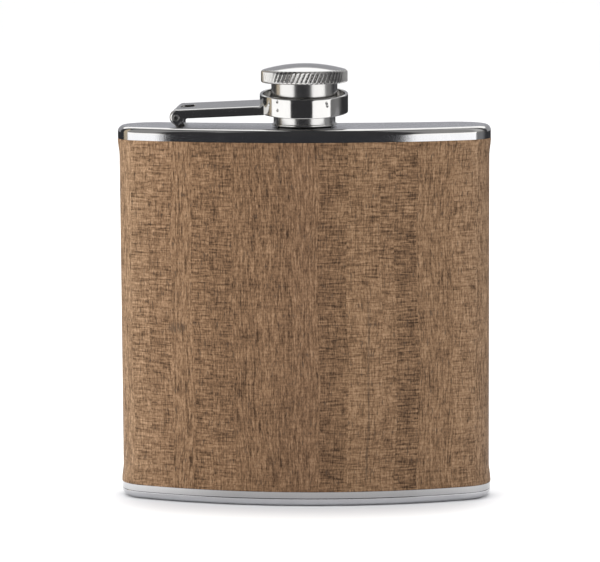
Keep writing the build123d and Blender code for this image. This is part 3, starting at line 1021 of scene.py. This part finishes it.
def pressed_wave(graph, x, z):
    """Height in millimetres of the upper band's wave: a slight flat at the left, ends falling away."""
    flat = graph.steps(x, FLAT_LEFT, FLAT_RIGHT, 0.0, -FLAT_DEPTH)
    ends = graph.steps(graph.math("ABSOLUTE", x), END_FALL_FROM, END_FALL_TO, 0.0, -END_FALL)
    return graph.math("MULTIPLY", graph.math("ADD", flat, ends), graph.steps(z, 60.0, 85.0))


def lower_band_painted_shade(graph, x, z):
    """Painted shade on the lower band, for the shaded floor it mirrors: darkest along its middle, less at
    its ends.
    """
    left = graph.steps(x, -41.0, -14.0, LOWER_PAINTED_SHADE_LEFT, 0.0)
    right = graph.steps(x, 24.0, 44.0, 0.0, LOWER_PAINTED_SHADE_RIGHT)
    share = graph.math("ADD", LOWER_PAINTED_SHADE, graph.math("ADD", left, right))
    return graph.math("MULTIPLY", share, graph.steps(z, 10.0, 20.0, 1.0, 0.0))


def plate_material():
    """The top plate: its flat brushed along the flask's width, its rounded edge polished."""
    graph = Graph("plate_steel")
    x, y, z, place_mm = graph.position()
    flat = graph.steps(z, PLATE_Z - 0.09, PLATE_Z - 0.01)
    smears = graph.noise(place_mm, 3, 0.6, 0.16)
    lines = steel_lines(graph, (x, y, z), (0.05, 9.0, 9.0))
    smoothest = BRUSHED_ROUGHNESS - BRUSHED_SPREAD / 2
    brushed_rough = graph.math("MULTIPLY_ADD", lines, BRUSHED_SPREAD, smoothest)
    edge_rough = graph.math("MULTIPLY_ADD", smears, 0.08, EDGE_ROUGHNESS)
    brushed = steel_tint(graph, smears, lines, BRUSHED_COLOUR, 0.92)
    edge = steel_tint(graph, smears, lines, STEEL_COLOUR, 0.94)
    rougher = graph.math("SUBTRACT", brushed_rough, edge_rough)
    rough = graph.math("MULTIPLY_ADD", flat, rougher, edge_rough)
    wave = graph.bump(pressed_wave(graph, x, z), 1.0, MM)
    brushing = graph.math("MULTIPLY", lines, graph.math("MULTIPLY_ADD", flat, 0.9, 0.1))
    relief = graph.bump(brushing, 0.5, SCRATCH_HEIGHT, wave)
    graph.surface(Base_Color=graph.mix(flat, edge, brushed), Roughness=rough, Metallic=1.0, Normal=relief)
    return graph.material


class Veneer(Graph):
    """The wood's graph, with millimetres across and along the grain; swayed follows the grain's wander."""

    def __init__(self):
        super().__init__("wood")
        split = self.node("ShaderNodeSeparateXYZ")
        self.set(split.inputs[0], self.node("ShaderNodeUVMap", uv_map="grain").outputs[0])
        self.across = self.math("MULTIPLY", split.outputs[0], GRAIN_UNIT)
        self.along = self.math("MULTIPLY", split.outputs[1], GRAIN_UNIT)
        sway = self.grain(self.across, self.along, 0.05, 0.035, 2.5)
        self.swayed = self.math("MULTIPLY_ADD", sway, SWAY, self.across)

    def grain(self, u, v, u_scale, v_scale, seed, detail=1.0, roughness=0.5):
        """Noise with its own fineness across and along the wood."""
        vector = self.vector(self.math("MULTIPLY", u, u_scale), self.math("MULTIPLY", v, v_scale), seed)
        return self.noise(vector, detail, roughness)

    def swayed_grain(self, u_scale, v_scale, seed, detail=1.0, roughness=0.5):
        return self.grain(self.swayed, self.along, u_scale, v_scale, seed, detail, roughness)

    def thin_lines(self, value, width):
        """1 along the thin lines where a noise passes its middle, falling to 0 beside them."""
        away = self.math("ABSOLUTE", self.math("SUBTRACT", value, 0.5))
        return self.steps(away, 0.0, width, 1.0, 0.0)


def wood_ribbons(wood):
    """Three random numbers for each ribbon of the grain: its tone, its share of flecks and its seed."""
    ribbons = wood.node("ShaderNodeTexVoronoi", voronoi_dimensions="1D")
    wood.set(ribbons.inputs["W"], wood.swayed)
    ribbons.inputs["Scale"].default_value = 1 / RIBBON
    parts = wood.node("ShaderNodeSeparateColor")
    wood.set(parts.inputs[0], ribbons.outputs["Color"])
    return parts.outputs


def crosswise_figure(wood, ribbon_tone, ribbon_seed):
    """Broken dark ripples across the grain and short flecks, which change from ribbon to ribbon."""
    u = wood.math("MULTIPLY_ADD", ribbon_seed, 37.0, wood.swayed)
    v = wood.math("MULTIPLY_ADD", ribbon_tone, 53.0, wood.along)
    ripples = wood.thin_lines(wood.grain(u, v, 0.07, 1.0, 4.2), 0.07)
    runs = wood.steps(wood.grain(u, v, 0.22, 0.8, 3.8), 0.32, 0.56, 0.25, 1.0)
    flecks = wood.grain(u, v, 0.38, 2.3, 7.7)
    return wood.total(wood.product(ripples, runs, RIPPLE_DARK), wood.centred(flecks, FLECK_CONTRAST))


def upright_figure(wood):
    """Fine dark fibres along the grain, broken into runs, over a fine upright streaking."""
    fibres = wood.thin_lines(wood.swayed_grain(1.25, 0.09, 9.1), 0.05)
    runs = wood.steps(wood.swayed_grain(0.9, 0.22, 5.1), 0.42, 0.60)
    streaking = wood.swayed_grain(2.5, 0.22, 6.1)
    return wood.total(wood.product(fibres, runs, FIBRE_DARK), wood.centred(streaking, FIBRE_CONTRAST))


def wood_tone(wood):
    """Light and dark of the figure: a ribbon with few crosswise flecks has more upright fibres."""
    ribbon_tone, ribbon_fleck, ribbon_seed = wood_ribbons(wood)
    fleck_share = wood.steps(ribbon_fleck, 0.15, 0.80, 0.35, 1.35)
    fibre_share = wood.steps(ribbon_fleck, 0.15, 0.80, 1.25, 0.60)
    return wood.total(
        WOOD_TONE,
        wood.product(crosswise_figure(wood, ribbon_tone, ribbon_seed), fleck_share),
        wood.product(upright_figure(wood), fibre_share),
        wood.centred(ribbon_tone, RIBBON_CONTRAST),
        wood.centred(wood.grain(wood.across, wood.along, 0.10, 0.06, 6.6, 2), CLOUD_CONTRAST),
        wood.centred(wood.swayed_grain(0.9, 0.07, 1.3, 2, 0.6), BAND_CONTRAST),
        wood.centred(wood.swayed_grain(2.9, 1.3, 5.3), SPECKLE_CONTRAST),
    )


def colour_with_painted_light(wood, tone):
    """The veneer's colour for a tone, with painted light and sheen: lighter and paler towards the ends of
    the front, most at the left.
    """
    # painted light: a colour factor along the front, lighter and paler at the ends
    painted_light_ramp = wood.ramp(wood.math("MULTIPLY_ADD", wood.across, 1 / 120, 0.5), WOOD_PAINTED_LIGHT)
    painted_light_mix = wood.node("ShaderNodeMix", data_type="RGBA", blend_type="MULTIPLY")
    painted_light_mix.inputs["Factor"].default_value = 1.0
    wood.set(painted_light_mix.inputs["A"], wood.ramp(tone, WOOD_COLOURS))
    wood.set(painted_light_mix.inputs["B"], painted_light_ramp)
    return painted_light_mix.outputs["Result"]


def streak(wood, place_mm, low, high, width):
    """One long dark line in the grain."""
    away = wood.math("ABSOLUTE", wood.math("SUBTRACT", wood.swayed, place_mm + SWAY / 2))
    return wood.product(
        wood.steps(away, 0.0, width, 1.0, 0.0),
        wood.steps(wood.along, low - 2, low + 2),
        wood.steps(wood.along, high - 2, high + 2, 1.0, 0.0),
    )


def knot(wood):
    """A small dark knot mark."""
    u = wood.math("DIVIDE", wood.math("SUBTRACT", wood.across, KNOT_PLACE[0]), KNOT_SIZE[0])
    v = wood.math("DIVIDE", wood.math("SUBTRACT", wood.along, KNOT_PLACE[1]), KNOT_SIZE[1])
    spread = wood.total(wood.product(u, u), wood.product(v, v))
    return wood.steps(spread, 0.15, 1.0, 1.0, 0.0)


def dark_marks(wood):
    """Pores, dots, the knot and the long lines, the last two broken into short upright dashes."""
    pores = wood.steps(wood.swayed_grain(2.7, 0.40, 5.9, 0), 0.68, 0.78, 0.0, 0.6)
    dots = wood.steps(wood.swayed_grain(2.4, 1.2, 8.2, 0), 0.76, 0.82, 0.0, 0.6)
    dashes = wood.steps(wood.swayed_grain(2.2, 0.5, 2.9, 0), 0.42, 0.6)
    knot_mark = wood.product(knot(wood), wood.math("MULTIPLY_ADD", dashes, 0.5, 0.2))
    streaks = wood.total(*(streak(wood, *line) for line in STREAKS))
    lines = wood.product(streaks, wood.math("MULTIPLY_ADD", dashes, 0.35, 0.3))
    small = wood.math("MAXIMUM", pores, dots)
    return wood.math("MAXIMUM", small, wood.math("MAXIMUM", knot_mark, lines))


def wood_material():
    """Ribbon-striped veneer, oiled, with dark pores and a slight relief of its own."""
    wood = Veneer()
    tone = wood_tone(wood)
    dark = dark_marks(wood)
    colour = wood.mix(dark, colour_with_painted_light(wood, tone), PORE_COLOUR)
    rough = wood.math("MULTIPLY_ADD", tone, -0.12, 0.66)
    relief = wood.bump(wood.math("SUBTRACT", tone, wood.math("MULTIPLY", dark, 0.5)), 0.5, GRAIN_HEIGHT)
    wood.surface(Base_Color=colour, Roughness=rough, Specular_IOR_Level=0.18, Normal=relief)
    return wood.material


def film_material(name, colour, roughness, grain_mm):
    """A dull film or rubber with a fine uneven surface."""
    graph = Graph(name)
    place_mm = graph.position()[3]
    blotches = graph.noise(place_mm, 3, 0.6, 1 / grain_mm)
    speckle = graph.noise(place_mm, 2, 0.5, 6 / grain_mm)
    share = graph.math("MULTIPLY_ADD", blotches, 0.7, graph.math("MULTIPLY", speckle, 0.3))
    tint = graph.mix(graph.steps(share, 0.35, 0.65), [c * 0.8 for c in colour], colour)
    rough = graph.math("MULTIPLY_ADD", speckle, 0.2, roughness - 0.1)
    graph.surface(Base_Color=tint, Roughness=rough, Normal=graph.bump(speckle, 0.3, 0.00004))
    return graph


def silicone_material():
    """The seal's pale rubber, which lets a little light in."""
    graph = film_material("silicone", (0.80, 0.80, 0.77), 0.42, 3.0)
    radius = (0.001, 0.001, 0.0009)
    graph.surface(Subsurface_Weight=0.35, Subsurface_Radius=radius, Subsurface_Scale=1.0)
    return graph.material


def adhesive_material():
    """The thin film under the veneer."""
    return film_material("adhesive", (0.50, 0.43, 0.30), 0.5, 5.0).material


def dress(node, material):
    """Gives a CAD node that stays its material."""
    data = frame["nodes"][node].data
    data.materials.clear()
    data.materials.append(material)


# ---- studio ----
CAMERA_PLACE = Vector((43.43, -800.12, 157.51))
CAMERA_YAW = 3.181
CAMERA_PITCH = 7.231
CAMERA_ROLL = -0.339
CAMERA_LENS = 190.05
SENSOR_WIDTH = 36.0
NEAR_FLOOR = 0.17
FAR_FLOOR = 9.0
FLOOR_PAINTED_SHADOW_REACH = (50.0, 20.0)    # how far the painted shadow round the flask reaches along x and y, in millimetres
FLOOR_PAINTED_SHADOW_COLOUR = (0.70, 0.70, 0.715)


def make_camera():
    """The viewing angle: a little right of the front and above the cap, with a long lens."""
    yaw, pitch, roll = radians(CAMERA_YAW), radians(CAMERA_PITCH), radians(CAMERA_ROLL)
    forward = Vector((-sin(yaw) * cos(pitch), cos(yaw) * cos(pitch), -sin(pitch)))
    right = forward.cross(Vector((0, 0, 1))).normalized()
    up = right.cross(forward)
    across = right * cos(roll) + up * sin(roll)
    upward = up * cos(roll) - right * sin(roll)
    data = bpy.data.cameras.new("camera")
    data.lens = CAMERA_LENS
    data.sensor_width = SENSOR_WIDTH
    data.clip_start = 0.01
    data.clip_end = 60
    camera = add_object("camera", data)
    turned = Matrix((across, upward, -forward)).transposed().to_4x4()
    camera.matrix_world = Matrix.Translation(CAMERA_PLACE * MM) @ turned
    bpy.context.scene.camera = camera


def floor_material():
    """Pale paper, with a painted shadow a little darker round where the flask stands."""
    graph = Graph("floor")
    x, y, _, place_mm = graph.position()
    tone = graph.noise(place_mm, 2, 0.5, 0.02)
    paper = graph.mix(tone, (0.955, 0.955, 0.955), (0.965, 0.965, 0.965))
    reaches = [graph.math("DIVIDE", axis, reach) for axis, reach in zip((x, y), FLOOR_PAINTED_SHADOW_REACH)]
    away = graph.math("SQRT", graph.total(*(graph.math("POWER", reach, 2.0) for reach in reaches)))
    # painted shadow round the flask's foot
    shade = graph.steps(away, 0.7, 1.6, 1.0, 0.0)
    colour = graph.mix(shade, paper, FLOOR_PAINTED_SHADOW_COLOUR)
    graph.surface(Base_Color=colour, Roughness=0.9, Specular_IOR_Level=0.1)
    return graph.material


def make_floor(material):
    """A near disc that the steel mirrors, and a far one that only the camera and soft light meet."""
    for name, inner, outer in (("floor_near", 0.0, NEAR_FLOOR), ("floor_far", NEAR_FLOOR, FAR_FLOOR)):
        mesh = bmesh.new()
        rim = add_ring(mesh, [(x, y, 0) for x, y in circle(outer, FLOOR_ROUND)])
        if inner:
            bridge(mesh, [add_ring(mesh, [(x, y, 0) for x, y in circle(inner, FLOOR_ROUND)]), rim])
        else:
            mesh.faces.new(rim)
        floor = mesh_object(name, mesh)
        floor.data.materials.append(material)
        floor.visible_glossy = not inner


# Bright and dark fields round the object that the steel mirrors: (from azimuth, to azimuth, from elevation,
# to elevation, slant of the upright edges, edge softness, brightness, colour), in degrees. Azimuth 0 is the
# front, 90 the right.
NEUTRAL = (1.0, 1.0, 1.0)
FIELDS = [
    (-91, -33, -28, 6, 0.0, 2.5, 1.6, NEUTRAL),
    (29.5, 80, -28, 6, 0.25, 2.5, 1.6, NEUTRAL),
    (-95, -35, 8, 70, 0.0, 6.0, 0.34, NEUTRAL),
    (33, 110, 8, 70, 0.0, 6.0, 0.34, NEUTRAL),
    (-110, -92, -28, 40, 0.0, 1.5, 0.6, (1.0, 0.83, 0.58)),
    (130, 230, -2, 25, 0.0, 1.5, 0.37, (0.94, 0.95, 1.0)),
    (130, 230, 25, 83, 0.0, 1.5, 1.5, NEUTRAL),
    (76, 112, -28, 95, 0.0, 24.0, 0.22, NEUTRAL),
]
DARK_LEVEL = 0.045
AMBIENT = 1.06


class WorldGraph(Graph):
    """The same helper over the world's nodes."""

    def __init__(self):
        world = bpy.data.worlds.new("studio")
        bpy.context.scene.world = world
        world.use_nodes = True
        self.tree = world.node_tree
        self.background = self.tree.nodes["Background"]


def light_field(graph, azimuth, elevation, limits, slant, soft):
    """1 inside a field's limits and 0 outside, with soft edges."""
    az_low, az_high, el_low, el_high = limits
    angle = graph.math("MULTIPLY_ADD", elevation, -slant, azimuth)
    return graph.product(
        graph.steps(angle, az_low - soft / 2, az_low + soft / 2),
        graph.steps(angle, az_high - soft / 2, az_high + soft / 2, 1.0, 0.0),
        graph.steps(elevation, el_low - soft, el_low + soft),
        graph.steps(elevation, el_high - soft, el_high + soft, 1.0, 0.0),
    )


def mirrored_studio(graph):
    """The light that the steel mirrors: a dark room with the bright fields in it."""
    direction = graph.node("ShaderNodeSeparateXYZ")
    graph.set(direction.inputs[0], graph.node("ShaderNodeTexCoord").outputs["Generated"])
    x, y, z = direction.outputs
    azimuth = graph.product(graph.math("ARCTAN2", x, graph.math("MULTIPLY", y, -1)), 180 / pi)
    past_rear = graph.math("WRAP", azimuth, 270, -90)
    elevation = graph.product(graph.math("ARCSINE", z), 180 / pi)
    light = graph.vector(DARK_LEVEL, DARK_LEVEL, DARK_LEVEL * 1.08)
    for *limits, slant, soft, strength, colour in FIELDS:
        turned = past_rear if limits[1] > 180 else azimuth
        scaled = graph.node("ShaderNodeVectorMath", operation="SCALE")
        scaled.inputs[0].default_value = [c * strength for c in colour]
        graph.set(scaled.inputs["Scale"], light_field(graph, turned, elevation, limits, slant, soft))
        added = graph.node("ShaderNodeVectorMath", operation="ADD")
        graph.set(added.inputs[0], light)
        graph.set(added.inputs[1], scaled.outputs[0])
        light = added.outputs[0]
    return light


def make_world():
    """White to the camera, even light for the dull surfaces, and the studio's fields for the mirrors."""
    graph = WorldGraph()
    light = mirrored_studio(graph)
    ray = graph.node("ShaderNodeLightPath")
    lit = graph.mix(ray.outputs["Is Glossy Ray"], (AMBIENT, AMBIENT, AMBIENT), light)
    seen = graph.mix(ray.outputs["Is Camera Ray"], lit, (1.0, 1.0, 1.0))
    graph.set(graph.background.inputs["Color"], seen)


# Soft boxes that light the dull surfaces only: (azimuth, elevation, distance, size, watts), in degrees and
# metres.
SOFT_BOXES = [
    (-52, 38, 0.9, 0.6, 3.2),
    (48, 32, 0.9, 0.6, 1.6),
    (180, 62, 1.0, 0.7, 4.5),
]
AIM_HEIGHT = 0.05


def make_lights():
    """The soft boxes, each facing the middle of the flask."""
    for azimuth, elevation, distance, size, watts in SOFT_BOXES:
        data = bpy.data.lights.new("soft_box", "AREA")
        data.shape = "SQUARE"
        data.size = size
        data.energy = watts
        light = add_object("soft_box", data)
        turn, rise = radians(azimuth), radians(elevation)
        away = Vector((sin(turn) * cos(rise), -cos(turn) * cos(rise), sin(rise)))
        light.location = away * distance + Vector((0, 0, AIM_HEIGHT))
        light.rotation_euler = away.to_track_quat("Z", "Y").to_euler()
        light.visible_glossy = False


# ---- assembly ----
POLISHED = steel_material("polished_steel", STEEL_COLOUR, 0.10, scratches=0.05)
BAND = steel_material("band_steel", BAND_COLOUR, 0.11, scratches=0.2, pressed=True)
PLATE = plate_material()
GRIP = steel_material("knurl_steel", STEEL_COLOUR, 0.21, scratches=0.08, polished_from=DOME_BOTTOM)
TURNED = steel_material("turned_steel", STEEL_COLOUR, 0.22, scratches=0.1)
# the base's steel is darkened as a painted shade of the floor it mirrors
BASE = steel_material("base_steel_painted_shade", BASE_PAINTED_SHADE_COLOUR, 0.12, scratches=0.2)
DULL = steel_material("weld_steel", WELD_COLOUR, 0.3, scratches=0.3)
WOOD = wood_material()
SILICONE = silicone_material()
ADHESIVE = adhesive_material()

make_camera()
make_floor(floor_material())
make_world()
make_lights()

make_top_cover(PLATE)
make_base_cover(BASE)
make_wood_wrap(WOOD)
make_head(GRIP)
make_sleeve(TURNED)
make_collar(POLISHED)
make_arm(POLISHED)
make_pin(DULL)
make_bracket(POLISHED)
for node, material in (
    ("body_shell", BAND),
    ("neck", POLISHED),
    ("neck_weld", DULL),
    ("bracket_weld", DULL),
    ("collar_washer", POLISHED),
    ("cap_seal", SILICONE),
    ("veneer_adhesive", ADHESIVE),
):
    dress(node, material)

bpy.context.scene.view_settings.view_transform = "Standard"
